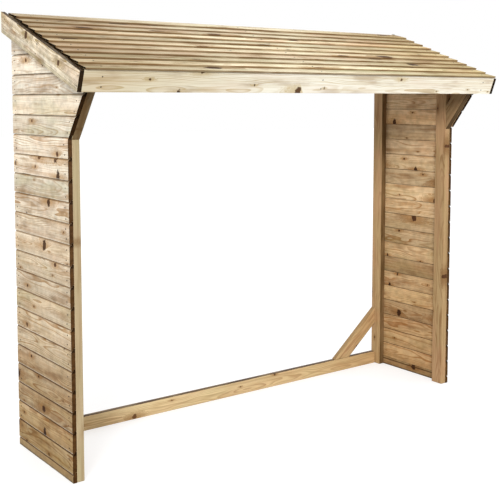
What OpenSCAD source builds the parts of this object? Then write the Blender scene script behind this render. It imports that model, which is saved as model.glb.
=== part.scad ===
// Open-fronted log store: two side walls of flush boards, a lean-to roof that falls to the front,
// and a rail across the back at ground level, braced at its right end. There is no floor and no back.
// Millimetres, +Z up. The origin is on the ground, under the middle of the whole store.
// -Y is the open front and +Y is the back. Left and right are as seen from the front.

/* [Side frames] */
// Clear width between the left and right posts
bay_width = 2010; // [900:10:3000]
// Depth of a side wall, from the front of the front post to the back of the back post
frame_depth = 510; // [350:5:900]
// Thickness of the posts, struts and top rails, across the store
post_thickness = 32; // [20:1:60]
// Width of a post, front to back
post_width = 65; // [40:1:90]
// Slope of the flare at the top of each side wall's front edge, measured from level
flare_angle = 53; // [40:1:70]
// Gap between the tip of the flare and the back of the fascia
flare_clearance = 23; // [5:1:60]
// Width of the strut that carries the flare
strut_width = 70; // [40:1:90]
// Depth of the sloping rail along the top of each side wall
top_rail_depth = 40; // [25:1:60]

/* [Wall cladding] */
// Height of each wall board that is left showing
wall_exposure = 80; // [50:1:120]
// Thickness of a wall board
wall_thickness = 17; // [12:1:25]
// How deep each wall board's upper edge is cut back, under the board above
groove_depth = 4; // [1:0.5:8]
// Height of that cut, down the face of the board
groove_height = 8; // [3:0.5:16]
// Height of the strip that shows below the lowest wall board
starter_height = 34; // [10:1:60]

/* [Back rails and brace] */
// Thickness of the back rails and of the brace, front to back
back_thickness = 28; // [18:1:40]
// Height of each back rail
rail_height = 65; // [40:1:90]
// Width of the brace
brace_width = 65; // [50:1:100]
// Slope of the brace, measured from level
brace_angle = 40; // [30:1:60]
// Distance from the right post to the near side of the brace's foot
brace_reach = 193; // [100:1:350]

/* [Roof] */
// Height of the roof frame's top at its back end
roof_height = 1806; // [1400:1:2400]
// Slope of the roof, falling to the front
roof_pitch = 20; // [10:0.5:24]
// How far the roof frame reaches in front of the posts
front_overhang = 223.5; // [150:0.5:400]
// Depth of a barge board
barge_depth = 78; // [60:1:120]
// Thickness of the barge boards and of the fascia
barge_thickness = 18; // [12:1:30]
// Gap between a side wall and its barge board
side_overhang = 40; // [10:1:120]
// Distance from the back of the walls to the back of the barge boards
roof_setback = 40; // [0:1:80]
// Depth of the rafters and of the rail at the roof's back
rafter_depth = 35; // [20:1:60]
// Width of a rafter
rafter_width = 32; // [20:1:50]
// Distance down the slope from the barge boards' back end to the roof's back rail
back_rail_inset = 30; // [20:1:60]

/* [Roof boards] */
// Width of each roof board that the next one covers
roof_lap = 20; // [10:1:40]
// Thickness of a roof board at its lower edge
roof_thick_edge = 8; // [6:0.5:16]
// Thickness of a roof board at its upper edge
roof_thin_edge = 4; // [3:0.5:8]
// How far the lowest roof board runs past the fascia
eaves_overhang = 6; // [3:1:60]
// Distance from the back of the barge boards to the highest roof board
ridge_inset = 30; // [10:1:60]

/* [Hidden] */

LEFT = -1;
RIGHT = 1;

// Places across the store, from its middle
post_inside = bay_width / 2;
post_outside = post_inside + post_thickness;
wall_outside = post_outside + wall_thickness;
barge_inside = wall_outside + side_overhang;
roof_board_length = 2 * barge_inside;

// Places along the slope, measured down it from the back end of the barge boards
barge_back_y = frame_depth - roof_setback;
barge_length = (barge_back_y + front_overhang) / cos(roof_pitch);
fascia_back = barge_length - barge_thickness;
eaves = barge_length + eaves_overhang;

// The boards share out the slope from the eaves to the ridge inset
roof_board_count = 11;
roof_exposure = (eaves - ridge_inset - roof_lap) / roof_board_count;
roof_board_width = roof_exposure + roof_lap;

// How far a roof board stands off its frame at its lower edge, where it rests on the board below
roof_taper = roof_thick_edge - roof_thin_edge;
roof_stand_off = (roof_thin_edge * roof_board_width + roof_taper * roof_lap) / roof_exposure;

// The side walls stop under the roof frame, and the posts stop under the walls' top rails
wall_top = -rafter_depth;
post_top = wall_top - top_rail_depth;

// A point of the side view: `down` along the slope from the roof's back end, `out` square to it
function slope_point(down, out) = [
    barge_back_y - down * cos(roof_pitch) - out * sin(roof_pitch),
    roof_height - down * sin(roof_pitch) + out * cos(roof_pitch)
];

// The height, at a given y, of the plane that lies `out` above the top of the roof frame
function slope_z(y, out) = roof_height + (y - barge_back_y) * tan(roof_pitch) + out / cos(roof_pitch);

// The flare climbs from the front of the post, at y = 0, to a tip behind the fascia
flare_tip = slope_point(fascia_back - flare_clearance, wall_top);
flare_height = flare_tip[1] + flare_tip[0] * tan(flare_angle);

// The y at which a line that climbs forward at the flare's angle, from `start` at y = 0, meets that plane
function flare_y(start, out) = (start - slope_z(0, out)) / (tan(flare_angle) + tan(roof_pitch));

function flare_point(start, out) = [flare_y(start, out), slope_z(flare_y(start, out), out)];

// The drawing below has y = 0 at the front of the posts; the whole store is then centred on the origin
front_tip_y = slope_point(eaves, roof_stand_off + roof_thick_edge)[0];
centre_y = (frame_depth + front_tip_y) / 2;

module centred() {
    translate([0, -centre_y, 0]) children();
}

// An outline of the side view, given a thickness from x = `start` outwards, on one side of the store
module side_piece(side, start, thickness, outline) {
    centred()
        mirror([side == LEFT ? 1 : 0, 0, 0])
            translate([start, 0, 0])
                rotate([90, 0, 90])
                    linear_extrude(thickness) polygon(outline);
}

// A frame along the roof: y runs down the slope as a negative distance, z stands square to it
module on_roof() {
    centred()
        translate([0, barge_back_y, roof_height])
            rotate([roof_pitch, 0, 0]) children();
}

module post(side, front) {
    color("burlywood")
        side_piece(side, post_inside, post_thickness, [
            [front, 0],
            [front + post_width, 0],
            [front + post_width, slope_z(front + post_width, post_top)],
            [front, slope_z(front, post_top)]
        ]);
}

module front_post(side) {
    post(side, 0);
}

module back_post(side) {
    post(side, frame_depth - post_width);
}

module strut(side) {
    upper_start = flare_height + strut_width / cos(flare_angle);
    color("tan")
        side_piece(side, post_inside, post_thickness, [
            [0, flare_height],
            [0, upper_start],
            flare_point(upper_start, post_top),
            flare_point(flare_height, post_top)
        ]);
}

module top_rail(side) {
    color("tan")
        side_piece(side, post_inside, post_thickness, [
            [frame_depth, slope_z(frame_depth, wall_top)],
            slope_point(fascia_back, wall_top),
            slope_point(fascia_back, post_top),
            [frame_depth, slope_z(frame_depth, post_top)]
        ]);
}

// Section of the wall boards, standing on the face of the posts, up to a given height.
// The boards' faces are flush. Each one's upper edge slopes back under the lower edge of the next.
module board_section(height) {
    seams = ceil((height - starter_height) / wall_exposure);
    polygon(concat(
        [[0, 0], [wall_thickness, 0]],
        [for (seam = [0 : seams - 1], corner = [0 : 2])
            [wall_thickness - (corner == 1 ? groove_depth : 0),
             starter_height + seam * wall_exposure - (corner == 0 ? groove_height : 0)]],
        [[wall_thickness, height], [0, height]]
    ));
}

module cladding(side) {
    back_top = slope_z(frame_depth, wall_top);
    color("wheat") {
        intersection() {
            side_piece(side, post_outside, wall_thickness, [
                [0, 0],
                [frame_depth, 0],
                [frame_depth, back_top],
                flare_tip,
                [0, flare_height]
            ]);
            centred()
                mirror([side == LEFT ? 1 : 0, 0, 0])
                    translate([post_outside, frame_depth, 0])
                        rotate([90, 0, 0])
                            linear_extrude(frame_depth - flare_tip[0]) board_section(back_top);
        }
    }
}

// A level rail between the back posts, with its underside at a given height
module back_rail(bottom) {
    color("burlywood")
        centred()
            translate([-post_inside, frame_depth - back_thickness, bottom])
                cube([bay_width, back_thickness, rail_height]);
}

module rear_bottom_rail() {
    back_rail(0);
}

module rear_top_rail() {
    back_rail(slope_z(frame_depth - back_thickness, post_top) - rail_height);
}

// The brace stiffens the open back from the bottom rail to the right post
module right_brace() {
    foot = post_inside - brace_reach;
    top = rail_height + brace_reach * tan(brace_angle);
    color("burlywood")
        centred()
            translate([0, frame_depth, 0])
                rotate([90, 0, 0])
                    linear_extrude(back_thickness)
                        polygon([
                            [foot, rail_height],
                            [post_inside, top],
                            [post_inside, top + brace_width / cos(brace_angle)],
                            [foot - brace_width / sin(brace_angle), rail_height]
                        ]);
}

// A rafter from the roof's back rail to the fascia, with its left face at a given x
module rafter(left_face) {
    run = fascia_back - back_rail_inset - rafter_width;
    color("tan")
        on_roof()
            translate([left_face, -fascia_back, -rafter_depth])
                cube([rafter_width, run, rafter_depth]);
}

module left_rafter() {
    rafter(-post_inside - rafter_width);
}

module middle_rafter() {
    rafter(-rafter_width / 2);
}

module right_rafter() {
    rafter(post_inside);
}

module roof_back_rail() {
    color("tan")
        on_roof()
            translate([-barge_inside, -back_rail_inset - rafter_width, -rafter_depth])
                cube([roof_board_length, rafter_width, rafter_depth]);
}

// The back end is cut plumb, so that the store can stand against a wall
module barge_board(side) {
    color("wheat")
        side_piece(side, barge_inside, barge_thickness, [
            [barge_back_y, roof_height],
            slope_point(barge_length, 0),
            slope_point(barge_length, -barge_depth),
            [barge_back_y, slope_z(barge_back_y, -barge_depth)]
        ]);
}

// The fascia hangs level with the barge boards and rises to the underside of the lowest roof board
module fascia() {
    into_board = fascia_back - (eaves - roof_board_width);
    rise = roof_stand_off * into_board / roof_board_width;
    color("wheat")
        on_roof()
            translate([-barge_inside, -barge_length, -barge_depth])
                cube([roof_board_length, barge_thickness, barge_depth + rise]);
}

// Roof boards are counted from the eaves up
module roof_board(number) {
    lower = eaves - (number - 1) * roof_exposure;
    upper = lower - roof_board_width;
    color("tan")
        on_roof()
            translate([-barge_inside, 0, 0])
                rotate([90, 0, 90])
                    linear_extrude(roof_board_length)
                        polygon([
                            [-upper, 0],
                            [-upper, roof_thin_edge],
                            [-lower, roof_stand_off + roof_thick_edge],
                            [-lower, roof_stand_off]
                        ]);
}

front_post(LEFT);  // left_front_post
front_post(RIGHT);  // right_front_post
back_post(LEFT);  // left_back_post
back_post(RIGHT);  // right_back_post
strut(LEFT);  // left_strut
strut(RIGHT);  // right_strut
top_rail(LEFT);  // left_top_rail
top_rail(RIGHT);  // right_top_rail
cladding(LEFT);  // left_cladding
cladding(RIGHT);  // right_cladding
rear_bottom_rail();
rear_top_rail();
right_brace();
left_rafter();
middle_rafter();
right_rafter();
roof_back_rail();
barge_board(LEFT);  // left_barge_board
barge_board(RIGHT);  // right_barge_board
fascia();
roof_board(1);  // roof_board_01
roof_board(2);  // roof_board_02
roof_board(3);  // roof_board_03
roof_board(4);  // roof_board_04
roof_board(5);  // roof_board_05
roof_board(6);  // roof_board_06
roof_board(7);  // roof_board_07
roof_board(8);  // roof_board_08
roof_board(9);  // roof_board_09
roof_board(10);  // roof_board_10
roof_board(11);  // roof_board_11
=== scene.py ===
# %% [markdown]
# # A timber log store
# The store is a light softwood frame with flush boards on its sides and overlap boards on its roof. Its
# pieces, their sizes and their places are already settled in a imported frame, so this lesson only gives them
# their looks: eased edges, separate boards, nails, and wood that has grain, knots and end grain. The frame is
# loaded first, because every piece takes its place from it.

# %% Load the frame
import math
import random

import bmesh
import bpy
import numpy as np
from mathutils import Matrix, Vector


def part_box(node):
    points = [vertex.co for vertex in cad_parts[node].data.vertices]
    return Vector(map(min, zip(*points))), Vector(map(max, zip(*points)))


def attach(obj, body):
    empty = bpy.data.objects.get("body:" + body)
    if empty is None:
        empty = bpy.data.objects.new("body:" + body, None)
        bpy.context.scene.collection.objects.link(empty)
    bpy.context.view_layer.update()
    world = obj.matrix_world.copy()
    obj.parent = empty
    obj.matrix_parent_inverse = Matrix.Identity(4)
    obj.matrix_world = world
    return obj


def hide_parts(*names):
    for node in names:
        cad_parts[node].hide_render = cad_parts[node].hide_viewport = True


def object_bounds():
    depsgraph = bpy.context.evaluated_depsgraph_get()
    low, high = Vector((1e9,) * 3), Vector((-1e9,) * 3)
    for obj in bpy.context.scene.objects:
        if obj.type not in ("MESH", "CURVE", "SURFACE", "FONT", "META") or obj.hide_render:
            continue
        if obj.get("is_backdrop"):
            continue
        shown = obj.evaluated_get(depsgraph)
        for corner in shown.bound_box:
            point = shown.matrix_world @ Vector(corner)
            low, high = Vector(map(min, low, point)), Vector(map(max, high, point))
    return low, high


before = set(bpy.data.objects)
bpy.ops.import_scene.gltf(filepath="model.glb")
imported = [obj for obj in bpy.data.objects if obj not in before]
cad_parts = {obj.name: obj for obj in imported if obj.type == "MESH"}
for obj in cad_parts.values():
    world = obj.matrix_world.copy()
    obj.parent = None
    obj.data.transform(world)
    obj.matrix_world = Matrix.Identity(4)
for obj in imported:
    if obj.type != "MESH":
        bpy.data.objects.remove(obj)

cad_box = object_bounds()
print("frame loaded, box", [round(size, 3) for size in cad_box[1] - cad_box[0]], "m")

# %% [markdown]
# ## The camera and the light
# The store is looked at from its front left corner, at head height. The view is shifted down a little and
# tilted for the rest, which keeps the uprights nearly parallel, as an architect's camera does. Light comes
# from a soft key lamp on the left, weak lamps on the right and behind, and a plain pale world, at a level
# where a colour renders about as it is written. The white behind the store is only what the camera sees, so
# it adds nothing to the light.

# %% Camera
EYE = (-2.548, -3.2625, 1.459)
HEADING = -36.7
TILT_DOWN = 4.74
VIEW_SHIFT = -0.15
LENS = 66.5
FILM_WIDTH = 36

camera = bpy.data.objects.new("camera", bpy.data.cameras.new("camera"))
bpy.context.scene.collection.objects.link(camera)
bpy.context.scene.camera = camera
camera.data.sensor_width = FILM_WIDTH
camera.data.lens = LENS
camera.data.shift_y = VIEW_SHIFT
camera.location = EYE
camera.rotation_euler = (math.radians(90 - TILT_DOWN), 0, math.radians(HEADING))
print("camera set", round(camera.location.length, 2), "m from the origin")


# %% A hand for building node trees
class Graph:
    """Adds nodes to a tree. Each call links what it is given and returns the new node's output."""

    def __init__(self, tree):
        self.tree = tree

    def node(self, kind, inputs=None, output=0, **settings):
        made = self.tree.nodes.new(kind)
        for name, value in settings.items():
            setattr(made, name, value)
        for key, value in (inputs or {}).items():
            if isinstance(value, bpy.types.NodeSocket):
                self.tree.links.new(value, made.inputs[key])
            else:
                made.inputs[key].default_value = value
        return made.outputs[output]

    def math(self, operation, *values):
        return self.node("ShaderNodeMath", dict(enumerate(values)), operation=operation)

    def product(self, *values):
        """All the values multiplied together."""
        result = values[0]
        for value in values[1:]:
            result = self.math("MULTIPLY", result, value)
        return result

    def vector(self, operation, *values, output=0):
        return self.node("ShaderNodeVectorMath", dict(enumerate(values)), output, operation=operation)

    def ramp(self, value, low, high, to_low=0.0, to_high=1.0):
        """A soft step: to_low below `low`, to_high above `high`."""
        values = {0: value, 1: low, 2: high, 3: to_low, 4: to_high}
        return self.node("ShaderNodeMapRange", values, interpolation_type="SMOOTHSTEP")

    def mix(self, factor, first, second, blend="MIX"):
        inputs = {"Factor": factor, 6: first, 7: second}
        return self.node("ShaderNodeMix", inputs, 2, data_type="RGBA", blend_type=blend)

    def store(self, geometry, name, value):
        """Keeps a number on every point of the geometry."""
        inputs = {"Geometry": geometry, "Name": name, "Value": value}
        return self.node("GeometryNodeStoreNamedAttribute", inputs, data_type="FLOAT", domain="POINT")

    def end(self, kind, value):
        """Links the tree's last value to its output node."""
        self.tree.links.new(value, self.tree.nodes.new(kind).inputs[0])

    def noise(self, vector, detail, output=0):
        return self.node("ShaderNodeTexNoise", {"Vector": vector, "Scale": 1.0, "Detail": detail}, output)

    def grained(self, place, scale, detail, output=0):
        """Noise in the wood: `scale` is how fast it changes along the log and in the two ways across it."""
        return self.noise(self.vector("MULTIPLY", place, scale), detail, output)


def paint(code):
    """A colour as painters write it, such as d8c4a0, turned into the linear values that nodes use."""
    shares = [int(code[at:at + 2], 16) / 255 for at in (0, 2, 4)]
    return tuple(s / 12.92 if s <= 0.04045 else ((s + 0.055) / 1.055) ** 2.4 for s in shares) + (1.0,)


# %% Light
SKY_STRENGTH = 0.70
LAMPS = (("key", 2.3, 20, Vector((-0.66, -0.70, 0.36))),
         ("fill", 0.75, 50, Vector((0.55, -0.80, 0.22))),
         ("back", 0.9, 60, Vector((0.45, 0.80, 0.40))))

for label, strength, softness, comes_from in LAMPS:
    lamp = bpy.data.objects.new(label, bpy.data.lights.new(label, "SUN"))
    bpy.context.scene.collection.objects.link(lamp)
    lamp.data.energy = strength
    lamp.data.angle = math.radians(softness)
    lamp.rotation_euler = comes_from.to_track_quat("Z", "Y").to_euler()

world = bpy.data.worlds.new("plain sky")
bpy.context.scene.world = world
world.use_nodes = True
world.node_tree.nodes.clear()
sky = Graph(world.node_tree)
ray = sky.node("ShaderNodeLightPath")
seen = sky.math("MAXIMUM", ray, sky.math("MAXIMUM", ray.node.outputs["Is Glossy Ray"],
                                         ray.node.outputs["Is Transmission Ray"]))
brightness = sky.node("ShaderNodeMix", {"Factor": seen, 2: SKY_STRENGTH, 3: 1.0}, 0)
background = sky.node("ShaderNodeBackground", {"Color": (1, 1, 1, 1), "Strength": brightness})
sky.end("ShaderNodeOutputWorld", background)
bpy.context.scene.view_settings.view_transform = "Standard"
print("lights set")

# %% The floor
FLOOR_REACH = 30.0
FLOOR_GLOW = 0.62


def make_floor():
    mesh = bpy.data.meshes.new("floor")
    corners = [(x * FLOOR_REACH, y * FLOOR_REACH, 0) for x, y in ((-1, -1), (1, -1), (1, 1), (-1, 1))]
    mesh.from_pydata(corners, [], [(0, 1, 2, 3)])
    floor = bpy.data.objects.new("floor", mesh)
    bpy.context.scene.collection.objects.link(floor)
    material = bpy.data.materials.new("pale floor")
    material.use_nodes = True
    material.node_tree.nodes.clear()
    graph = Graph(material.node_tree)
    path = graph.node("ShaderNodeLightPath")
    matt = graph.node("ShaderNodeBsdfDiffuse", {"Color": (0.5, 0.5, 0.5, 1)})
    glow = graph.node("ShaderNodeEmission", {"Color": (1, 1, 1, 1), "Strength": FLOOR_GLOW})
    lit = graph.node("ShaderNodeAddShader", {0: matt, 1: glow})
    surface = graph.node("ShaderNodeMixShader", {0: path, 1: matt, 2: lit})
    graph.end("ShaderNodeOutputMaterial", surface)
    mesh.materials.append(material)
    floor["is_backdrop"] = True


make_floor()
print("floor laid, reaching", FLOOR_REACH, "m each way")

# %% [markdown]
# ## Wood that is solid all through
# A board is a slice of a log. Its rings are sleeves round the log's middle, so a board cut beside that
# middle shows flames and arches on its face, straight lines on its edge and arcs on its end. A flat
# picture of wood would have to be laid on each face and would never agree at the corners. So each piece
# carries its own place in its log as an attribute, `grain`: metres along the log, and metres sideways from
# its middle. The material works out rings and knots from that place. `tone` says how light the board is and
# `hue` whether it leans to green or to pink. `end` marks sawn ends, `inner` marks the faces that look into
# the store, and `grime_and_shade` says how much a face is darkened, partly for wet dirt that settles on it
# and partly as painted shade where little light reaches it.

# %% Give a mesh its place in the log
PITH_NEAR = 0.012
PITH_FAR = 0.075
PITH_ASIDE = 0.035
LOG_LENGTH = 60.0


def season(mesh, along, out, seed, darkness=0.0, grime_and_shade_way=(0, 0, 1)):
    """Stores grain, tone, hue, end, inner and grime. A mesh of many boards has their numbers in `board`.

    The way it is given points out of the faces that are darkened, partly for dirt that settles on them and
    partly as painted shade, and its length says how much.
    """
    along, out = Vector(along).normalized(), Vector(out).normalized()
    axes = np.array([along, out.cross(along), out])
    count = len(mesh.vertices)
    places = np.empty(count * 3)
    mesh.vertices.foreach_get("co", places)
    places = places.reshape(-1, 3) @ axes.T
    boards = np.zeros(count)
    if "board" in mesh.attributes:
        mesh.attributes["board"].data.foreach_get("value", boards)
    boards = np.rint(boards).astype(int)
    tones = np.zeros(count)
    hues = np.zeros(count)
    for board in sorted(set(boards.tolist())):
        rng = random.Random(seed * 1009 + board)
        chosen = boards == board
        middle = places[chosen].mean(axis=0)
        side = rng.choice((-1, 1))
        pith = (rng.uniform(0, LOG_LENGTH), rng.uniform(-PITH_ASIDE, PITH_ASIDE),
                side * rng.uniform(PITH_NEAR, PITH_FAR))
        places[chosen] += np.array(pith) - middle * np.array((0, 1, 1))
        tones[chosen] = rng.uniform(-1, 1) - darkness
        hues[chosen] = rng.uniform(-1, 1)
    attribute = mesh.attributes.new("grain", "FLOAT_VECTOR", "POINT")
    attribute.data.foreach_set("vector", places.astype(np.float32).ravel())
    for name, values in (("tone", tones), ("hue", hues)):
        mesh.attributes.new(name, "FLOAT", "POINT").data.foreach_set("value", values.astype(np.float32))
    normals = [face.normal for face in mesh.polygons]
    grime_and_shade_strength, grime_and_shade_way = Vector(grime_and_shade_way).length, Vector(grime_and_shade_way).normalized()
    for name, test in (("end", lambda n: abs(n.dot(along)) > 0.6),
                       ("inner", lambda n: n.dot(out) < -0.5),
                       ("grime_and_shade", lambda n: grime_and_shade_strength * (n.dot(grime_and_shade_way) > 0.55))):
        marks = np.array([test(normal) for normal in normals], dtype=np.float32)
        mesh.attributes.new(name, "FLOAT", "FACE").data.foreach_set("value", marks)


# %% [markdown]
# ## The finish of each kind of timber
# All the timber is softwood that was soaked in preservative, so it shares one recipe: pale sapwood, pinker
# heartwood near the log's middle, thin darker lines of late wood, and dark knots which the grain flows round.
# What differs is how pale each kind is, how many knots it has and how weathered it has become, and those are
# the recipe's numbers. Knots come from a cell pattern that gives each cell one centre. The distance from that
# centre in metres draws a knot, and a longer, softer distance pushes the rings aside round it. Boards cut
# lengthwise through a branch show it drawn out along the grain, so a recipe can stretch its knots.

# %% Knots
KNOT_CELL = (0.21, 0.088)
SMALLEST_KNOT = 0.0022
KNOT_PUSH = 2.2
KNOT_REACH = 2.4


def knots(graph, place, share, largest, stretch):
    """Masks of the knots, their rims and their stain, how far they push the rings, and each cell's luck."""
    cell = graph.vector("DIVIDE", place, (*KNOT_CELL, 1.0))
    point = graph.node("ShaderNodeTexVoronoi", {"Vector": cell, "Scale": 1.0, "Randomness": 1.0},
                       "Position", voronoi_dimensions="2D")
    chance = graph.node("ShaderNodeSeparateColor", {0: point.node.outputs["Color"]})
    size = graph.math("POWER", chance.node.outputs[1], 2.2)
    present = graph.math("LESS_THAN", chance, share)
    radius = graph.product(graph.math("MULTIPLY_ADD", size, largest, SMALLEST_KNOT), present)
    flat_cell = graph.vector("MULTIPLY", cell, (1, 1, 0))
    offset = graph.vector("MULTIPLY", graph.vector("SUBTRACT", flat_cell, point), (*KNOT_CELL, 0.0))
    squash = graph.math("MULTIPLY_ADD", chance.node.outputs[2], 0.95, 0.38)
    oval = graph.node("ShaderNodeCombineXYZ", {0: 1 / stretch, 1: squash})
    distance = graph.vector("LENGTH", graph.vector("MULTIPLY", offset, oval), output=1)
    ragged = graph.math("SUBTRACT", graph.grained(place, (110, 110, 110), 3), 0.5)
    ragged = graph.product(ragged, graph.math("MULTIPLY_ADD", radius, 1.1, 0.002))
    gap = graph.math("SUBTRACT", graph.math("ADD", distance, ragged), radius)
    solid = graph.product(graph.ramp(gap, -0.0014, 0.0008, 1.0, 0.0), present)
    rim = graph.product(graph.ramp(graph.math("ABSOLUTE", gap), 0.0, 0.0022, 1.0, 0.0), present)
    long_way = graph.vector("LENGTH", graph.vector("MULTIPLY", offset, (0.3 / stretch, 1, 1)), output=1)
    long_way = graph.math("ADD", long_way, ragged)
    reach = graph.math("MULTIPLY_ADD", radius, KNOT_REACH, 0.0015)
    near = graph.math("DIVIDE", long_way, reach)
    push = graph.product(graph.ramp(near, 0.0, 1.0, 1.0, 0.0), graph.product(radius, KNOT_PUSH))
    stained = graph.product(graph.ramp(near, 0.2, 1.1, 1.0, 0.0), present)
    return solid, rim, push, stained, chance


# %% Rings
def year_rings(graph, place, push, ring):
    """The distance from the log's middle, and the dark line of late wood that ends each year."""
    wander = graph.grained(place, (2.1, 11, 11), 2, "Color")
    wander = graph.vector("MULTIPLY", graph.vector("SUBTRACT", wander, (0.5, 0.5, 0.5)), (0, 0.045, 0.045))
    across = graph.vector("MULTIPLY", graph.vector("ADD", place, wander), (0, 1, 1))
    radius = graph.math("ADD", graph.vector("LENGTH", across, output=1), push)
    year = graph.math("DIVIDE", radius, ring)
    part = graph.math("FRACT", year)
    vigour = graph.node("ShaderNodeTexWhiteNoise", {"W": graph.math("FLOOR", year)}, noise_dimensions="1D")
    line = graph.product(graph.ramp(part, 0.35, 0.92), graph.ramp(part, 0.93, 1.0, 1.0, 0.0))
    return radius, graph.product(line, graph.math("MULTIPLY_ADD", vigour, 0.9, 0.25))


# %% [markdown]
# ## Weather, and painted shade and light
# Wood out of doors is seldom one colour. The lowest boards of a wall are darker and browner towards the
# ground, which is painted shade for a lamp that lights a wall's top more than its foot, and the strip at the
# ground and its upper seam stay wet the longest. The groove where a board's face turns in at its top is
# darker, partly for dirt that stays there and partly as painted shade under the lip above it, while the sharp
# lower edge of the next board gets a pale painted highlight. Damp creeps up the underside of a barge board.
# End grain drinks water and dirt, and its small cracks turn black. A recipe can also have three tints, for
# the store's left, middle and right, which blend into each other along the store. The ground rail's tints are
# painted light: they make its left end paler, where the left wall's shadow falls on it.

# %% Weathering
END_BLACK = paint("120a04")
SEAM_BROWN = paint("442a12")
LOW_SHADE = paint("a58950")
STRIP_WOOD = paint("a98f68")
WET_FOOT = paint("4a3a24")
DAMP_EDGE = paint("8d8258")
STRIP_HEIGHT = 0.034


def tint_across(graph, colour, x, tints):
    """Multiplies the colour by three tints that blend into each other from the left end to the right."""
    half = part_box("fascia")[1].x
    left, middle, right = (paint(tint) for tint in tints)
    tint = graph.mix(graph.ramp(x, -half, 0.0), left, middle)
    tint = graph.mix(graph.ramp(x, 0.0, half), tint, right)
    return graph.mix(1.0, colour, tint, "MULTIPLY")


def shade_low_and_strip(graph, colour, height, uneven, outer, low_shade):
    """Darkens and browns a wall's lowest boards as painted shade, and draws the strip at the ground with its
    seam and its wet foot.
    """
    # painted shade: darker and browner towards the foot of the wall, a little less on its inner face
    ragged = graph.math("MULTIPLY_ADD", uneven, 0.8, graph.math("SUBTRACT", height, 0.4))
    low = graph.product(graph.ramp(ragged, -0.3, 1.7, 1.0, 0.0), low_shade)
    low = graph.product(low, graph.math("MULTIPLY_ADD", outer, 0.25, 0.75))
    colour = graph.mix(low, colour, LOW_SHADE, "MULTIPLY")
    from_top = graph.math("SUBTRACT", height, STRIP_HEIGHT)
    strip = graph.product(graph.ramp(from_top, -0.003, 0.001, 0.6, 0.0), outer)
    colour = graph.mix(strip, colour, STRIP_WOOD)
    strip_top = graph.ramp(from_top, 0.0005, 0.002, 0.85, 0.0)
    strip_seam = graph.product(graph.ramp(from_top, -0.0065, -0.0035), strip_top)
    colour = graph.mix(strip_seam, colour, SEAM_BROWN)
    return graph.mix(graph.ramp(height, 0.003, 0.010, 0.8, 0.0), colour, WET_FOOT)


def damp_underside(graph, colour, spot, streak, share):
    """A wavy damp band along the barge boards' lower edge."""
    depth = graph.math("SUBTRACT", graph.vector("DOT_PRODUCT", spot, OFF_SLOPE, output=1), BARGE_UNDERSIDE)
    wavy = graph.math("MULTIPLY_ADD", streak, 0.008, graph.math("SUBTRACT", depth, 0.004))
    return graph.mix(graph.ramp(wavy, 0.011, 0.018, share, 0.0), colour, DAMP_EDGE)


def seam_grime_shade_highlight(graph, colour, sap, grime_and_shade, own_height, height, outer, stain, seam):
    """Darkens the groove at a board's top, partly for dirt and partly as painted shade under the lip above,
    browner near the ground, and gives the lip's lower edge a pale painted highlight.
    """
    groove, groove_end, highlight_reach = seam
    # painted highlight: a pale line along a board's lower edge, where its lip would catch the light
    below = graph.ramp(own_height, 0.002, highlight_reach, 1.0, 0.0)
    lip_highlight = graph.product(below, outer, graph.ramp(stain, 0.35, 0.6, 0.1, 0.7))
    colour = graph.mix(lip_highlight, colour, paint(sap))
    # the groove is darker, partly for dirt and partly as painted shade under the lip, and browner near the
    # ground
    above = graph.ramp(own_height, groove, groove_end)
    groove_grime_and_shade = graph.product(above, outer, graph.ramp(height, 0.1, 1.3, 0.92, 0.6))
    return graph.mix(groove_grime_and_shade, colour, graph.mix(graph.ramp(height, 0.1, 1.0), SEAM_BROWN, paint(grime_and_shade)))


# %% The recipe for wood
GREEN_CAST = paint("b4ba90")
PINK_CAST = paint("d9a58c")
WEATHERED = paint("98744a")
KNOT_RIM = paint("26150a")
RED_KNOT = paint("6e4629")
KNOT_RINGS = paint("331f10")
HEART_SHARE = 0.4
UNEVEN_INSIDE = 0.09
SHEEN = 0.15
END_JOINT = (0.068, 0.075)


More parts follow.
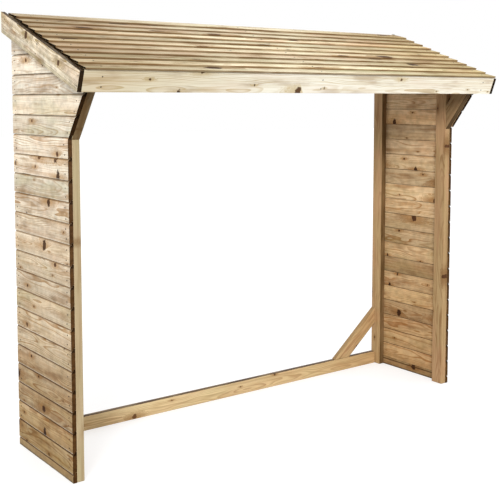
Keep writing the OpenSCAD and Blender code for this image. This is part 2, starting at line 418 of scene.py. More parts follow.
def timber(name, sap, heart, late, knot, sawn_end, inside_and_shade, grime_and_shade, contrast, share, largest, tint, pink,
           weather, grime_and_shade_strength=0.7, ring=0.0042, stretch=1.0, low_shade=0.0, varied=0.12, tints=None, lower_band=0.0,
           seam=None, end_streaks=1.0, curl=0.0):
    """Softwood. Colours and tints are painters' codes, ring, largest and seam are metres, and stretch is how
    many times longer than wide its knots are. The rest are shares."""
    material = bpy.data.materials.new(name)
    material.use_nodes = True
    material.node_tree.nodes.clear()
    graph = Graph(material.node_tree)
    place = graph.node("ShaderNodeAttribute", output="Vector", attribute_name="grain")
    tone, hue, end, inner, grimy_and_shaded, own_height = (
        graph.node("ShaderNodeAttribute", output="Fac", attribute_name=label)
        for label in ("tone", "hue", "end", "inner", "grime_and_shade", "height"))
    spot = graph.node("ShaderNodeTexCoord", output="Object")
    x = graph.node("ShaderNodeSeparateXYZ", {0: spot})
    height = x.node.outputs["Z"]
    outer = graph.math("SUBTRACT", 1.0, inner)

    solid, rim, push, stained, chance = knots(graph, place, share, largest, stretch)
    radius, line = year_rings(graph, place, push, ring)
    fibre = graph.grained(place, (14, 900, 900), 2)
    streak = graph.grained(place, (2.2, 75, 75), 4)
    patches = graph.node("ShaderNodeSeparateColor", {0: graph.grained(place, (4.5, 14, 14), 3, "Color")})
    stain = graph.grained(place, (6, 26, 26), 5)

    heartwood = graph.ramp(graph.math("MULTIPLY_ADD", streak, 0.02, radius), 0.02, 0.055, HEART_SHARE, 0.0)
    colour = graph.mix(heartwood, paint(sap), paint(heart))
    colour = graph.mix(graph.ramp(streak, 0.45, 0.75, 0.0, 0.5), colour, paint(late))
    colour = graph.mix(graph.product(line, contrast), colour, paint(late))
    greenish = graph.product(graph.ramp(patches, 0.42, 0.62), graph.ramp(hue, -0.6, 0.9, 0.0, tint))
    colour = graph.mix(greenish, colour, GREEN_CAST)
    pinkish = graph.ramp(patches.node.outputs[1], 0.42, 0.62)
    pinkish = graph.product(pinkish, graph.ramp(hue, -0.9, 0.6, pink, 0.0))
    colour = graph.mix(pinkish, colour, PINK_CAST)
    colour = graph.mix(graph.ramp(stain, 0.5, 0.72, 0.0, weather), colour, WEATHERED)

    colour = graph.mix(graph.product(stained, 0.72), colour, paint(late))
    colour = graph.mix(graph.product(rim, graph.math("MULTIPLY_ADD", chance, 0.7, 0.3)), colour, KNOT_RIM)
    knot_rings = graph.math("SINE", graph.product(graph.math("ADD", radius, push), 2600))
    knot_shade = graph.mix(chance.node.outputs[2], paint(knot), RED_KNOT)
    knot_shade = graph.mix(graph.math("MULTIPLY_ADD", knot_rings, 0.25, 0.3), knot_shade, KNOT_RINGS)
    colour = graph.mix(graph.product(solid, 0.95), colour, knot_shade)

    # inner faces are darker, partly a sawn back's own colour and partly painted shade inside the store
    colour = graph.mix(graph.product(inner, 0.75), colour, paint(inside_and_shade), "MULTIPLY")
    if tints:
        colour = tint_across(graph, colour, x, tints)
    # painted shade on the walls' lowest boards, darker and browner towards the ground
    if low_shade:
        colour = shade_low_and_strip(graph, colour, height, patches.node.outputs[2], outer, low_shade)
    if lower_band:
        colour = damp_underside(graph, colour, spot, streak, lower_band)
    # dirt and painted shade in the wall seams' grooves, and a painted highlight on each lip
    if seam:
        colour = seam_grime_shade_highlight(graph, colour, sap, grime_and_shade, own_height, height, outer, stain, seam)
    # faces turned the darkened way take this colour, partly for wet dirt and partly as painted shade
    grime_and_shade_mix = graph.product(grimy_and_shaded, graph.math("MULTIPLY_ADD", graph.ramp(stain, 0.3, 0.6), 0.3, grime_and_shade_strength - 0.2))
    colour = graph.mix(grime_and_shade_mix, colour, paint(grime_and_shade))
    cracks = graph.ramp(streak, 0.35, 0.7, 0.0, end_streaks)
    if seam:
        cracks = graph.math("MAXIMUM", cracks, graph.ramp(own_height, *END_JOINT, 0.0, 0.8))
    colour = graph.mix(graph.product(end, 0.985), colour, graph.mix(cracks, paint(sawn_end), END_BLACK))
    # end grain that faces the darkened way goes nearly black, partly for wet dirt and partly as painted shade
    colour = graph.mix(graph.product(end, grimy_and_shaded, 0.6), colour, END_BLACK)

    spread = graph.math("MULTIPLY_ADD", inner, UNEVEN_INSIDE, varied)
    level = graph.math("MULTIPLY_ADD", tone, spread, 1.0)
    level = graph.product(level, graph.math("MULTIPLY_ADD", fibre, 0.34, 0.83))
    if curl:
        figure = graph.ramp(graph.grained(place, (32, 38, 38), 3), 0.25, 0.75, 1 - curl / 2, 1 + curl / 2)
        level = graph.product(level, figure)
    colour = graph.mix(1.0, colour, level, "MULTIPLY")

    hill = graph.math("MULTIPLY_ADD", line, 0.25, graph.product(fibre, 0.5))
    hill = graph.math("SUBTRACT", hill, graph.product(rim, 0.8))
    normal = graph.node("ShaderNodeBump", {"Strength": 0.35, "Distance": 0.0006, "Height": hill})
    rough = graph.math("MULTIPLY_ADD", streak, 0.2, 0.58)
    # a product with a plain number last, because an export keeps that number and drops the rest
    sheen = graph.product(graph.math("SUBTRACT", 1.0, end), SHEEN)
    skin = graph.node("ShaderNodeBsdfPrincipled", {"Base Color": colour, "Roughness": rough, "Normal": normal,
                                                   "Specular IOR Level": sheen})
    graph.end("ShaderNodeOutputMaterial", skin)
    return material


# %% Mix the timbers
PITCH = math.radians(20)
OFF_SLOPE = Vector((0, -math.sin(PITCH), math.cos(PITCH)))
DOWN_SLOPE = Vector((0, -math.cos(PITCH), -math.sin(PITCH)))
barge_low, barge_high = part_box("left_barge_board")
roof_corner = Vector((0, barge_high.y, barge_high.z))
BARGE_DEPTH = 0.078
BARGE_UNDERSIDE = roof_corner.dot(OFF_SLOPE) - BARGE_DEPTH

WALL_WOOD = timber("flush wall boards", sap="faf1de", heart="efd6b0", late="b8905e", knot="40260f",
                   sawn_end="51361c", inside_and_shade="e7c99d", grime_and_shade="7c5c34", ring=0.0035, contrast=0.8, share=0.62,
                   largest=0.015, tint=0.28, pink=0.16, weather=0.55, low_shade=0.95,
                   seam=(0.0728, 0.0772, 0.005), end_streaks=0.35, curl=0.26)
ROOF_WOOD = timber("overlap roof boards", sap="f9f0da", heart="ead4b4", late="a68458", knot="4a2c14",
                   sawn_end="1c1006", inside_and_shade="b48c62", grime_and_shade="7a5e3c", grime_and_shade_strength=0.8, contrast=0.6, share=0.42,
                   largest=0.012, stretch=3.4, tint=0.4, pink=0.5, weather=0.6, varied=0.19,
                   tints=("cabfaa", "fffef2", "dbceac"))
BARGE_WOOD = timber("barge boards", sap="f7edd8", heart="e8d2ae", late="ab9060", knot="4b3018",
                    sawn_end="2a1b0a", inside_and_shade="c0a070", grime_and_shade="3c2a14", grime_and_shade_strength=0.95, contrast=1.0, share=0.95,
                    largest=0.012, tint=0.5, pink=0.2, weather=1.0, lower_band=0.4, curl=0.45)
FASCIA_WOOD = timber("fascia", sap="fffcf4", heart="fcf1da", late="cdb68a", knot="4b3018", sawn_end="2a1b0a",
                     inside_and_shade="c0a070", grime_and_shade="a08a5c", contrast=0.75, share=0.85, largest=0.012, tint=0.4,
                     pink=0.12, weather=0.35, tints=("dfd6be", "fffef6", "fffcf2"))
FRAME = {"sap": "c4ad84", "heart": "b8986c", "late": "866238", "knot": "4d3018", "sawn_end": "5a4024",
         "inside_and_shade": "ffffff", "grime_and_shade_strength": 0.9, "contrast": 0.65, "share": 0.55, "largest": 0.010, "tint": 0.15,
         "pink": 0.25, "weather": 0.35, "ring": 0.0036, "varied": 0.08}
FRAME_WOOD = timber("planed frame timber", grime_and_shade="6b5130", tints=("f1f9ff", "fbffff", "fff2e4"), **FRAME)
# the ground rail: its tints are painted light, paler at the left end where the left wall's shadow falls, and
# its top is darker, partly for wet dirt and partly as painted shade under the roof
RAIL_WOOD = timber("planed ground rail", grime_and_shade="3c2814", tints=("fafeff", "e4e6e6", "dad0c4"), **FRAME)
print("timbers mixed:", [material.name for material in bpy.data.materials])

# %% [markdown]
# ## Planed timbers
# Posts, rails, rafters, the brace and the trim come off a planer with their edges slightly rounded, so that
# they do not splinter. Each is a copy of its frame piece. The copy's loose triangles are merged and its flat
# faces made whole, then its edges are beveled. Beveling the real shape keeps every angled end where it
# belongs. Some timbers are darker or paler than the rest, the right strut as painted shade under the roof,
# some are sawn from a log of their own choice, so that their knots fall well, and the ground rail has its own
# finish, with a top that is darker, partly for wet dirt and partly as painted shade under the roof.

# %% Ease the edges of a frame piece
FLARE = math.radians(53)
BRACE = math.radians(40)
EASING = 0.0035


def copy_of(node):
    """The node's mesh, merged and with whole faces, ready to be reshaped."""
    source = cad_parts[node]
    shape = bmesh.new()
    shape.from_mesh(source.data)
    shape.transform(source.matrix_world)
    bmesh.ops.remove_doubles(shape, verts=shape.verts, dist=1e-5)
    bmesh.ops.dissolve_limit(shape, angle_limit=math.radians(1), verts=shape.verts, edges=shape.edges)
    return shape


def finish_piece(name, mesh, material, nodes=()):
    """Puts a finished mesh in the scene, hangs it on the root body and hides the frame nodes it replaces."""
    piece = bpy.data.objects.new(name, mesh)
    bpy.context.scene.collection.objects.link(piece)
    if not mesh.materials:
        mesh.materials.append(material)
    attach(piece, "root")
    if nodes:
        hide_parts(*nodes)


def planed(node, along, out, material, seed, darkness=0.0, easing=EASING, grime_and_shade_way=(0, 0, 1),
           shaved=0.0):
    """A finished timber. `shaved` takes that much off its outward face, to leave room for nail heads."""
    shape = copy_of(node)
    face = max(vert.co.dot(out) for vert in shape.verts)
    for vert in shape.verts:
        if vert.co.dot(out) > face - 1e-4:
            vert.co -= out * shaved
    bmesh.ops.bevel(shape, geom=shape.edges[:], offset=easing, segments=2, profile=0.6, affect="EDGES",
                    clamp_overlap=True)
    bmesh.ops.recalc_face_normals(shape, faces=shape.faces)
    mesh = bpy.data.meshes.new(node + "_timber")
    shape.to_mesh(mesh)
    shape.free()
    season(mesh, along, out, seed, darkness, grime_and_shade_way)
    finish_piece(node + "_timber", mesh, material, (node,))


# %% The frame's timbers
UP = Vector((0, 0, 1))
ACROSS = Vector((1, 0, 0))
UP_FLARE = Vector((0, -math.cos(FLARE), math.sin(FLARE)))
OFF_FLARE = Vector((0, -math.sin(FLARE), -math.cos(FLARE)))
TRIM_EASING = 0.0015
NAIL_STANDS = 0.001
INWARD = Vector((0, -1, 0))

UP_BRACE = Vector((math.cos(BRACE), 0, math.sin(BRACE)))
# how much darker each timber is: the right strut's is painted shade under the roof, and the ground rail's
# paleness, with its tints, is painted light where the left wall's shadow falls on it
DARKER = {"right_front_post": 2.6, "right_strut": 4.5, "right_back_post": 1.8, "rear_bottom_rail": -8.0,
          "right_brace": -0.2}
LOGS = {"right_back_post": 40, "right_front_post": 32}

# The last way in each row points out of the faces that are painted darker: on the struts' undersides and the
# back posts' fronts, in the corner by the wall, that is painted shade, and on the ground rail's top it is
# partly wet dirt and partly painted shade under the roof.
frame_timbers = [("right_brace", UP_BRACE, INWARD, UP * 0.45),
                 ("middle_rafter", DOWN_SLOPE, OFF_SLOPE, UP),
                 ("rear_bottom_rail", ACROSS, INWARD, UP),
                 ("rear_top_rail", ACROSS, INWARD, UP),
                 ("roof_back_rail", ACROSS, OFF_SLOPE, UP)]
for side in ("left", "right"):
    frame_timbers += [(f"{side}_front_post", UP, -ACROSS, -UP),
                      (f"{side}_back_post", UP, -ACROSS, INWARD),
                      (f"{side}_strut", UP_FLARE, -ACROSS, OFF_FLARE),
                      (f"{side}_top_rail", DOWN_SLOPE, -ACROSS, UP),
                      (f"{side}_rafter", DOWN_SLOPE, OFF_SLOPE, UP)]
for seed, (node, along, out, grimy_and_shaded) in enumerate(frame_timbers):
    wood = RAIL_WOOD if node == "rear_bottom_rail" else FRAME_WOOD
    planed(node, along, out, wood, LOGS.get(node, seed), DARKER.get(node, 0.0),
           grime_and_shade_way=grimy_and_shaded)
for seed, side, outward in ((46, "left", -ACROSS), (47, "right", ACROSS)):
    # the barge boards' top edges are darker
    planed(f"{side}_barge_board", DOWN_SLOPE, outward, BARGE_WOOD, seed, darkness=0.6,
           easing=TRIM_EASING, grime_and_shade_way=OFF_SLOPE, shaved=NAIL_STANDS)
planed("fascia", ACROSS, DOWN_SLOPE, FASCIA_WOOD, 25, easing=TRIM_EASING)

# %% [markdown]
# ## Boards
# The walls have flush boards. Each has a lip in front and a tongue at its top, which goes up behind the next
# board's lip, and the face is cut back just under that lip, so that each seam is a small groove. The roof
# has overlap boards: thin wedges whose thick lower edge lies over the thin upper edge of the board below.
# Either way the boards follow a rule, so one Geometry Nodes tree makes both. It takes a board's section as an
# outline, sweeps it along a line, and places it at every course. Then each board is given its own slight
# tilt, its own thickness, play at its ends, and wane, which is where the saw met the outside of the tree and
# the lower edge wanders. `height` keeps each point's height on its own board, so that the finish can tell a
# board's top from its lower edge.

# %% A tree that lays a run of boards
BOARD_INPUTS = (("Boards", "Int", 10), ("Length", "Float", 1.0), ("Width", "Float", 0.086),
                ("Exposure", "Float", 0.08), ("Steps", "Int", 30), ("Rounding", "Float", 0.0012),
                ("Wane", "Float", 0.002), ("Tilt", "Float", 0.002), ("Uneven", "Float", 0.06),
                ("End play", "Float", 0.0015), ("Seed", "Int", 1), ("First board", "Int", 0),
                ("Wood", "Material", None))


def tree_with(name, inputs):
    """A Geometry Nodes tree with these inputs, its Graph, and its inputs' sockets by name."""
    tree = bpy.data.node_groups.new(name, "GeometryNodeTree")
    tree.interface.new_socket(name="Geometry", in_out="INPUT", socket_type="NodeSocketGeometry")
    for label, kind, value in inputs:
        socket = tree.interface.new_socket(name=label, in_out="INPUT", socket_type="NodeSocket" + kind)
        if value is not None:
            socket.default_value = value
    tree.interface.new_socket(name="Geometry", in_out="OUTPUT", socket_type="NodeSocketGeometry")
    given = tree.nodes.new("NodeGroupInput").outputs
    return tree, Graph(tree), given


def end_tree(tree, geometry):
    """Hands the geometry to the tree's output."""
    tree.links.new(geometry, tree.nodes.new("NodeGroupOutput").inputs[0])
    return tree


def outline(name, corners):
    """A closed line through corners given as (up, outwards), turned so that a sweep along x stands it up."""
    mesh = bpy.data.meshes.new(name)
    count = len(corners)
    edges = [(corner, (corner + 1) % count) for corner in range(count)]
    mesh.from_pydata([(-up, -outwards, 0) for up, outwards in corners], edges, [])
    return mesh


def board_tree():
    tree, graph, given = tree_with("board run", BOARD_INPUTS)
    section = graph.node("GeometryNodeMeshToCurve", {0: given["Geometry"]})
    fillet = {"Curve": section, "Count": 2, "Radius": given["Rounding"], "Limit Radius": True}
    section = graph.node("GeometryNodeFilletCurve", fillet, mode="POLY")
    reach = graph.node("ShaderNodeCombineXYZ", {0: given["Length"]})
    way = graph.node("GeometryNodeCurvePrimitiveLine", {"Start": (0, 0, 0), "End": reach})
    way = graph.node("GeometryNodeResampleCurve", {"Curve": way, "Count": given["Steps"]})
    board = graph.node("GeometryNodeCurveToMesh", {"Curve": way, "Profile Curve": section, "Fill Caps": True})
    place = graph.node("GeometryNodeInputPosition")
    height = graph.node("ShaderNodeSeparateXYZ", {0: place}, "Y")
    board = graph.store(board, "height", height)

    step = graph.node("ShaderNodeCombineXYZ", {1: given["Exposure"]})
    courses = graph.node("GeometryNodeMeshLine", {"Count": given["Boards"], "Offset": step}, mode="OFFSET")
    number = graph.math("ADD", graph.node("GeometryNodeInputIndex"), given["First board"])
    courses = graph.store(courses, "board", number)
    run = graph.node("GeometryNodeInstanceOnPoints", {"Points": courses, "Instance": board})
    run = graph.node("GeometryNodeRealizeInstances", {"Geometry": run})

    board_number = graph.node("GeometryNodeInputNamedAttribute", {"Name": "board"}, data_type="FLOAT")
    own_height = graph.node("GeometryNodeInputNamedAttribute", {"Name": "height"}, data_type="FLOAT")
    x = graph.node("ShaderNodeSeparateXYZ", {0: place})
    outwards = x.node.outputs["Z"]
    share = graph.math("DIVIDE", x, given["Length"])
    lot = graph.math("MULTIPLY_ADD", board_number, 7.31, given["Seed"])
    luck = graph.node("ShaderNodeTexWhiteNoise", {"W": lot}, "Color", noise_dimensions="1D")
    luck = graph.node("ShaderNodeSeparateXYZ", {0: graph.vector("SUBTRACT", luck, (0.5, 0.5, 0.5))})
    lean = graph.product(graph.math("SUBTRACT", share, 0.5), luck, given["Tilt"])

    edge = graph.ramp(graph.math("DIVIDE", own_height, given["Width"]), 0.0, 0.5, 1.0, 0.0)
    spot = graph.node("ShaderNodeCombineXYZ", {0: graph.product(x, 5.0), 1: lot})
    dip = graph.ramp(graph.noise(spot, 3), 0.52, 0.8)
    ripple = graph.node("ShaderNodeCombineXYZ", {0: graph.product(x, 28.0), 1: lot})
    rough = graph.product(graph.noise(ripple, 2), 0.25)
    wane = graph.product(graph.math("ADD", dip, rough), given["Wane"], edge)

    first_play = graph.math("ABSOLUTE", graph.product(luck.node.outputs[1], given["End play"]))
    last_play = graph.math("ABSOLUTE", graph.product(luck.node.outputs[2], given["End play"]))
    slide = graph.node("ShaderNodeMix", {"Factor": share, 2: first_play, 3: graph.product(last_play, -1.0)})
    thinner = graph.product(graph.math("SUBTRACT", luck.node.outputs[2], 0.5), given["Uneven"])
    sink = graph.product(outwards, thinner)
    shift = graph.node("ShaderNodeCombineXYZ", {0: slide, 1: graph.math("ADD", lean, wane), 2: sink})
    run = graph.node("GeometryNodeSetPosition", {"Geometry": run, "Offset": shift})
    run = graph.node("GeometryNodeRealizeInstances", {"Geometry": run})
    run = graph.node("GeometryNodeSetMaterial", {"Geometry": run, "Material": given["Wood"]})
    return end_tree(tree, run)


BOARDS = board_tree()
print("board tree has", len(BOARDS.nodes), "nodes")


# %% Bake a tree into a plain mesh
def bake(tree, name, values, start=None):
    """Runs the tree on a start mesh with these inputs and returns the result as a plain mesh."""
    carrier = bpy.data.objects.new(name, start or bpy.data.meshes.new(name + "_start"))
    bpy.context.scene.collection.objects.link(carrier)
    modifier = carrier.modifiers.new(name, "NODES")
    modifier.node_group = tree
    sockets = {item.name: item.identifier for item in tree.interface.items_tree if item.in_out == "INPUT"}
    for label, value in values.items():
        modifier[sockets[label]] = value
    view_layer = bpy.context.view_layer
    view_layer.update()
    graph = bpy.context.evaluated_depsgraph_get()
    mesh = bpy.data.meshes.new_from_object(carrier.evaluated_get(graph), depsgraph=graph)
    bpy.data.objects.remove(carrier)
    mesh.name = name
    return mesh


def stand(mesh, origin, up, out):
    """Moves a mesh made flat, with x along, y up the boards and z outwards, to its place."""
    along = up.cross(out)
    turn = Matrix((along, up, out)).transposed().to_4x4()
    mesh.transform(Matrix.Translation(origin) @ turn)
    return mesh


# %% [markdown]
# ## The side walls
# A carpenter nails the boards on long, then saws them off along the frame: upright at the back, upright and
# then slanting at the flared front, and along the slope under the roof. The boards are made long here too,
# and a cutting plane does the sawing, board by board, because the front changes direction at the flare. The
# narrow strip at the ground is the upper part of one more board. Behind each lip the tongue stops short of
# the next board's back, because wood swells, and that gap is the dark line seen from inside the store.

# %% Saw boards off along a plane
def saw(shape, boards, point, normal):
    """Cuts the boards in this range with a plane, drops what is beyond it and closes the cut."""
    layer = shape.verts.layers.float["board"]
    verts = [v for v in shape.verts if round(v[layer]) in boards]
    edges = {edge for vert in verts for edge in vert.link_edges}
    faces = {face for vert in verts for face in vert.link_faces}
    cut = bmesh.ops.bisect_plane(shape, geom=[*verts, *edges, *faces], dist=1e-6, plane_co=point,
                                 plane_no=normal, clear_outer=True)
    rim = [item for item in cut["geom_cut"] if isinstance(item, bmesh.types.BMEdge)]
    bmesh.ops.edgeloop_fill(shape, edges=rim)


# %% The section of a wall board
EXPOSURE = 0.080
THICKNESS = 0.017
GROOVE_DEPTH = 0.004
GROOVE_HEIGHT = 0.008
LIP_BACK = 0.0085
TONGUE_FRONT = 0.0078
TONGUE = 0.007
RECESS = 0.0085
LIP_GAP = 0.0014
STRIP_NUMBER = 90
ROOF_DEPTH = 0.035


def wall_section(name, height, foot):
    """A board's outline. The foot is how its lower edge is cut, from the board's back round to the lip."""
    top = [(height - GROOVE_HEIGHT, THICKNESS), (height, THICKNESS - GROOVE_DEPTH), (height, TONGUE_FRONT),
           (height + TONGUE, TONGUE_FRONT), (height + TONGUE, 0.0)]
    return outline(name, top + foot)


REBATED_FOOT = [(RECESS, 0.0), (RECESS, LIP_BACK), (LIP_GAP, LIP_BACK), (LIP_GAP, THICKNESS)]
SQUARE_FOOT = [(0.0, 0.0), (0.0, THICKNESS)]
print("a wall board shows", round(EXPOSURE * 1000), "mm and is", round(THICKNESS * 1000), "mm thick")

# %% Make both walls
under_roof = roof_corner - OFF_SLOPE * ROOF_DEPTH
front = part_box("left_front_post")[0].y
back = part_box("left_back_post")[1].y
flare_foot = Vector((0, front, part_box("left_strut")[0].z))
wall_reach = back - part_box("left_cladding")[0].y
courses = math.ceil((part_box("left_cladding")[1].z - STRIP_HEIGHT) / EXPOSURE)
flare_course = math.ceil((flare_foot.z - STRIP_HEIGHT) / EXPOSURE)


def join(*meshes):
    shape = bmesh.new()
    for mesh in meshes:
        shape.from_mesh(mesh)
    return shape


def wall(side, seed):
    """The boards of one side wall, sawn to the frame's outline."""
    out = -ACROSS if side == "left" else ACROSS
    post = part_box(f"{side}_front_post")
    face = post[0].x if side == "left" else post[1].x
    start = back if side == "left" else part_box("left_cladding")[0].y
    common = {"Length": wall_reach, "Wood": WALL_WOOD, "Seed": seed, "Steps": 36, "Exposure": EXPOSURE}
    boards = bake(BOARDS, "boards", {**common, "Boards": courses, "Width": EXPOSURE + TONGUE, "Wane": 0.0022,
                                     "Tilt": 0.002, "End play": 0.003},
                  wall_section("board_section", EXPOSURE, REBATED_FOOT))
    strip = bake(BOARDS, "strip", {**common, "Boards": 1, "Width": STRIP_HEIGHT + TONGUE, "Wane": 0.0,
                                   "Tilt": 0.0, "First board": STRIP_NUMBER},
                 wall_section("strip_section", STRIP_HEIGHT, SQUARE_FOOT))
    stand(boards, Vector((face, start, STRIP_HEIGHT)), UP, out)
    stand(strip, Vector((face, start, 0)), UP, out)
    shape = join(boards, strip)
    low = [*range(flare_course), STRIP_NUMBER]
    high = range(flare_course, courses)
    saw(shape, low, Vector((0, front, 0)), Vector((0, -1, 0)))
    saw(shape, high, flare_foot, OFF_FLARE)
    saw(shape, high, under_roof, OFF_SLOPE)
    bmesh.ops.recalc_face_normals(shape, faces=shape.faces)
    mesh = bpy.data.meshes.new(f"{side}_wall_boards")
    shape.to_mesh(mesh)
    shape.free()
    # the boards' undersides and the ends cut at the flare are darkened, partly for wet dirt and partly as
    # painted shade under them
    season(mesh, Vector((0, 1, 0)), out, 100 + seed, grime_and_shade_way=-UP)
    finish_piece(mesh.name, mesh, WALL_WOOD, (f"{side}_cladding",))
    print(mesh.name, courses, "courses,", len(mesh.polygons), "faces")


wall("left", 3)
wall("right", 8)

# %% [markdown]
# ## The roof
# The roof is laid from the eaves up with wedge-shaped overlap boards, so that rain runs off it. The same tree
# makes them from another section. The boards stop at the barge boards, and their ends show as small dark
# steps above them. End grain soaks up water and dirt, which is why it is so dark.

# %% Lay the roof boards
ROOF_BOARDS = 11
ROOF_LAP = 0.020
ROOF_THICK = 0.008
ROOF_THIN = 0.004

lowest, next_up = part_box("roof_board_01"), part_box("roof_board_02")
roof_exposure = (next_up[0].z - lowest[0].z) / math.sin(PITCH)
roof_width = roof_exposure + ROOF_LAP
# how far a board's lower edge stands off the rafters, because it lies on the board below
roof_stand_off = (ROOF_THIN * roof_width + (ROOF_THICK - ROOF_THIN) * ROOF_LAP) / roof_exposure
eaves_down = (roof_corner.z - lowest[0].z + roof_stand_off * math.cos(PITCH)) / math.sin(PITCH)


def roof():
    section = outline("roof_section", [(0.0, roof_stand_off), (0.0, roof_stand_off + ROOF_THICK),
                                       (roof_width, ROOF_THIN), (roof_width, 0.0)])
    mesh = bake(BOARDS, "roof_covering", {
        "Boards": ROOF_BOARDS, "Length": lowest[1].x - lowest[0].x, "Width": roof_width,
        "Exposure": roof_exposure, "Steps": 110, "Wane": 0.0025, "Tilt": 0.003, "End play": 0.005, "Seed": 5,
        "Rounding": 0.0009, "Wood": ROOF_WOOD}, section)
    origin = Vector((lowest[0].x, roof_corner.y, roof_corner.z)) + DOWN_SLOPE * eaves_down
    stand(mesh, origin, -DOWN_SLOPE, OFF_SLOPE)
    shape = join(mesh)
    bmesh.ops.recalc_face_normals(shape, faces=shape.faces)
    shape.to_mesh(mesh)
    shape.free()
    # the boards' thick lower edges are darkened, partly for dirt and partly as painted shade under each lap
    season(mesh, ACROSS, OFF_SLOPE, 205, grime_and_shade_way=DOWN_SLOPE)
    nodes = [f"roof_board_{number:02d}" for number in range(1, ROOF_BOARDS + 1)]
    finish_piece("roof_covering", mesh, ROOF_WOOD, nodes)
    print("roof exposure", round(roof_exposure * 1000, 1), "mm,", len(mesh.polygons), "faces")


roof()

# %% [markdown]
# ## Nails
# Each board is held by two nails into each post and one into each rafter. A nail head is a small shallow
# dome. There are hundreds, so it is made once, with few faces, and Geometry Nodes copy it to a cloud of
# points. Each point knows which way its wood faces, and each head leans a little, as a hammer leaves it.

# %% A tree that drives nails
NAIL_INPUTS = (("Head diameter", "Float", 0.0055), ("Head height", "Float", 0.0012), ("Lean", "Float", 0.12),
               ("Seed", "Int", 4), ("Metal", "Material", None))


def nail_tree():
    tree, graph, given = tree_with("nails", NAIL_INPUTS)
    radius = graph.product(given["Head diameter"], 0.5)
    head = graph.node("GeometryNodeMeshCylinder", {"Vertices": 10, "Side Segments": 1, "Fill Segments": 2,
                                                   "Radius": radius, "Depth": given["Head height"]})
    place = graph.node("GeometryNodeInputPosition")
    flat = graph.vector("MULTIPLY", place, (1, 1, 0))
    share = graph.math("DIVIDE", graph.vector("LENGTH", flat, output=1), radius)
    crown = graph.math("SUBTRACT", 1.0, graph.math("POWER", share, 2.0))
    lift = graph.node("ShaderNodeCombineXYZ", {2: graph.product(crown, given["Head height"], 0.4)})
    head = graph.node("GeometryNodeSetPosition", {"Geometry": head, "Offset": lift})
    facing = graph.node("GeometryNodeInputNamedAttribute", {"Name": "facing"}, data_type="FLOAT_VECTOR")
    swing = graph.node("FunctionNodeRandomValue", {0: (-1, -1, -1), 1: (1, 1, 1), "Seed": given["Seed"]},
                       data_type="FLOAT_VECTOR")
    swing = graph.node("ShaderNodeVectorMath", {0: swing, "Scale": given["Lean"]}, operation="SCALE")
    way = graph.vector("ADD", facing, swing)
    turn = graph.node("FunctionNodeAlignRotationToVector", {"Vector": way}, axis="Z")
    nails = graph.node("GeometryNodeInstanceOnPoints", {"Points": given["Geometry"], "Instance": head,
                                                        "Rotation": turn})
    nails = graph.node("GeometryNodeRealizeInstances", {"Geometry": nails})
    nails = graph.node("GeometryNodeSetMaterial", {"Geometry": nails, "Material": given["Metal"]})
    return end_tree(tree, nails)


def nail_metal():
    """Galvanised steel, dulled and stained brown by the wet wood."""
    material = bpy.data.materials.new("dull nail heads")
    material.use_nodes = True
    material.node_tree.nodes.clear()
    graph = Graph(material.node_tree)
    place = graph.node("ShaderNodeTexCoord", output="Object")
    rust = graph.ramp(graph.grained(place, (300, 300, 300), 3), 0.4, 0.65)
    colour = graph.mix(rust, paint("4a4640"), paint("3c281a"))
    rough = graph.math("MULTIPLY_ADD", rust, 0.3, 0.5)
    skin = graph.node("ShaderNodeBsdfPrincipled", {"Base Color": colour, "Roughness": rough, "Metallic": 0.5})
    graph.end("ShaderNodeOutputMaterial", skin)
    return material


NAILS = nail_tree()
NAIL_METAL = nail_metal()
print("nail tree has", len(NAILS.nodes), "nodes")


def drive(name, spots):
    """Drives a nail at each spot. A spot is a place and the way that the wood faces there."""
    start = bpy.data.meshes.new(name + "_spots")
    start.from_pydata([place for place, facing in spots], [], [])
    ways = [value for place, facing in spots for value in facing]
    start.attributes.new("facing", "FLOAT_VECTOR", "POINT").data.foreach_set("vector", ways)
    mesh = bake(NAILS, name, {"Metal": NAIL_METAL, "Seed": len(spots)}, start)
    finish_piece(name, mesh, NAIL_METAL)
    print(name, len(spots), "nails,", len(mesh.polygons), "faces")


# %% Nail the walls
NAIL_HEIGHTS = (0.020, 0.056)
NAIL_INSET = 0.028
NAIL_DRIFT = 0.005
# how deep in a board's thickness the middle of a nail head lies, as a share
NAIL_SEAT = 0.985


def wall_nails(side):
    out = -ACROSS if side == "left" else ACROSS
    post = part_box(f"{side}_front_post")
    face = post[0].x if side == "left" else post[1].x
    rng = random.Random(side)
    spots = []
    for course in range(courses):
        for height in NAIL_HEIGHTS:
            z = STRIP_HEIGHT + course * EXPOSURE + height
            edge = front if z < flare_foot.z else front - (z - flare_foot.z) / math.tan(FLARE)
            for y in (edge + NAIL_INSET, back - NAIL_INSET):
                aside, above = (rng.uniform(-NAIL_DRIFT, NAIL_DRIFT) for _ in range(2))
                spot = Vector((face, y + aside, z + above))
                if (spot - under_roof).dot(OFF_SLOPE) < -NAIL_INSET / 2:
                    spots.append((spot + out * THICKNESS * NAIL_SEAT, out))
    drive(f"{side}_wall_nails", spots)


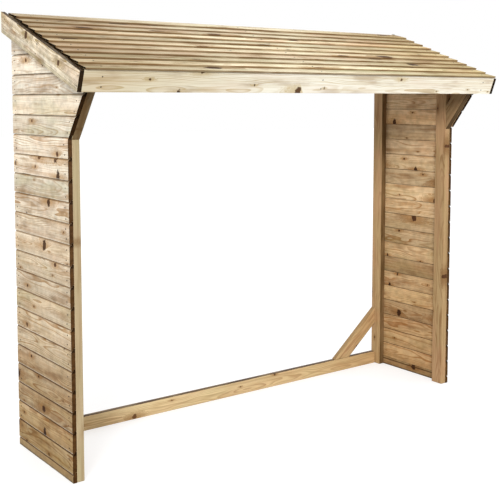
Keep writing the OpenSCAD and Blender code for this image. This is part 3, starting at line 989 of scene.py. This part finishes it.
wall_nails("left")
wall_nails("right")

# %% Nail the roof and the trim
ROOF_NAIL_UP = 0.026
TRIM_NAIL_EDGE = 0.020
BARGE_TOP_NAIL = 0.045
BARGE_END_NAIL = 0.009
NAIL_SUNK = 0.0004


def roof_nails():
    lean = (roof_stand_off + ROOF_THICK - ROOF_THIN) / roof_width
    facing = (OFF_SLOPE + DOWN_SLOPE * lean).normalized()
    spots = []
    for rafter in ("left_rafter", "middle_rafter", "right_rafter"):
        low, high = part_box(rafter)
        for board in range(ROOF_BOARDS):
            place = roof_corner + DOWN_SLOPE * (eaves_down - board * roof_exposure - ROOF_NAIL_UP)
            place = place + OFF_SLOPE * (roof_stand_off + ROOF_THICK - ROOF_NAIL_UP * lean)
            spots.append((Vector(((low.x + high.x) / 2, place.y, place.z)), facing))
    drive("roof_nails", spots)


def trim_nails():
    length = (roof_corner.y - barge_low.y) / math.cos(PITCH)
    heights = (TRIM_NAIL_EDGE, BARGE_DEPTH - TRIM_NAIL_EDGE)
    spots = []
    for rafter in ("left_rafter", "middle_rafter", "right_rafter"):
        low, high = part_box(rafter)
        for depth in heights:
            place = roof_corner + DOWN_SLOPE * length - OFF_SLOPE * depth
            spots.append((Vector(((low.x + high.x) / 2, place.y, place.z)), DOWN_SLOPE))
    for node, out in (("left_barge_board", -ACROSS), ("right_barge_board", ACROSS)):
        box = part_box(node)
        face = box[0].x if out.x < 0 else box[1].x
        for down in (BARGE_TOP_NAIL, length / 2, length - BARGE_END_NAIL):
            for depth in heights:
                place = roof_corner + DOWN_SLOPE * down - OFF_SLOPE * depth
                spots.append((Vector((face, place.y, place.z)) - out * (NAIL_STANDS + NAIL_SUNK), out))
    drive("trim_nails", spots)


roof_nails()
trim_nails()

# %% [markdown]
# ## Finish
# The store's box is printed beside the frame's, so that the two can be compared. The looks may not make the
# store any larger than the frame says.

# %% Print both sizes and finish
made_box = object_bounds()
for label, (low, high) in (("frame", cad_box), ("made", made_box)):
    print(label, [round(value, 4) for value in (*low, *high)])
